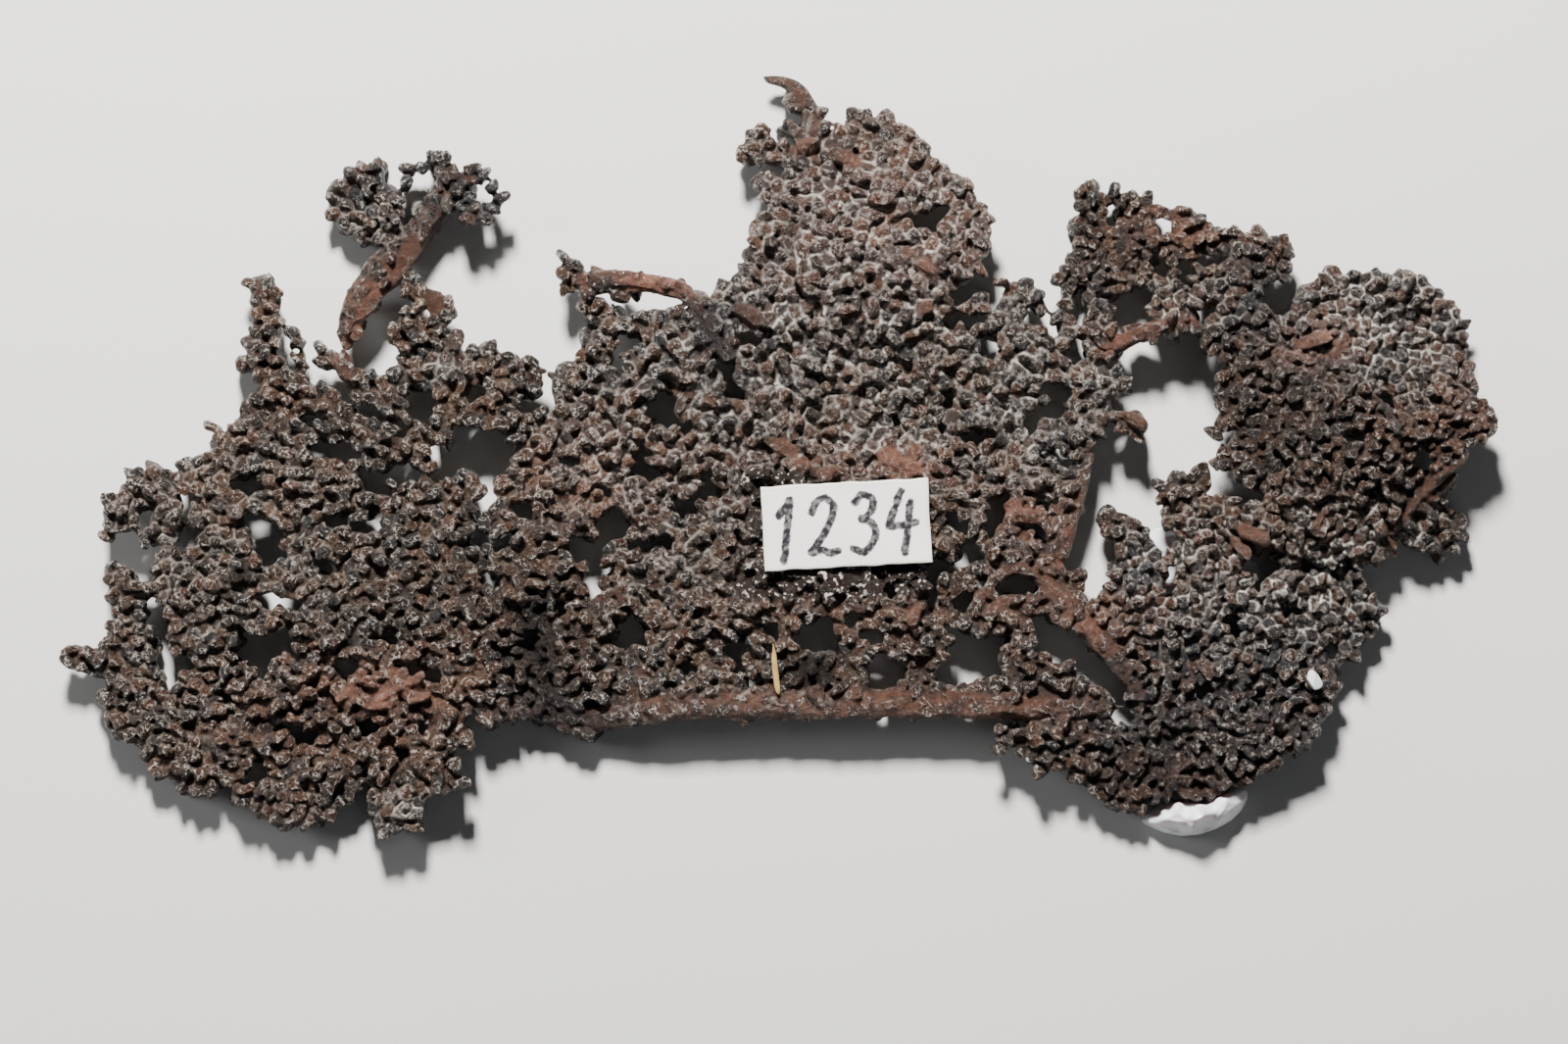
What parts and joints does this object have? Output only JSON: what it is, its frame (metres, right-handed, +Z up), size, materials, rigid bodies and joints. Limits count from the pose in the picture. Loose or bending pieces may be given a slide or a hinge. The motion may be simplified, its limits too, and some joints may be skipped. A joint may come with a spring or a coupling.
{
  "type": "native copper leaf specimen",
  "caption": "Flat, lacy, branching leaf of fused copper nubs with ragged gaps, smooth stems, a glued paper number label and a lump of putty at its foot.",
  "frame": {"origin": "middle of the bounding box in plan, on the surface the leaf lies on", "axes": "+Z up, towards the labelled face; +X along the leaf's length, from the large left fan to the domed right head; +Y towards the tall middle crest"},
  "size_m": [0.1396, 0.0746, 0.008],
  "materials": {
    "copper": "native copper under a brown and grey-tan patina, pale dust in the creases",
    "label_paper": "matt white card with hand-inked numerals",
    "putty": "smooth white mounting putty"
  },
  "bodies": {
    "root": {"left_fan": "copper", "crown_sprig": "copper", "centre_fan": "copper", "bent_twig": "copper", "right_arch": "copper", "right_head": "copper", "right_foot": "copper", "paper_label": "label_paper", "mounting_putty": "putty", "rear_putty": "putty"}
  },
  "joints": []
}
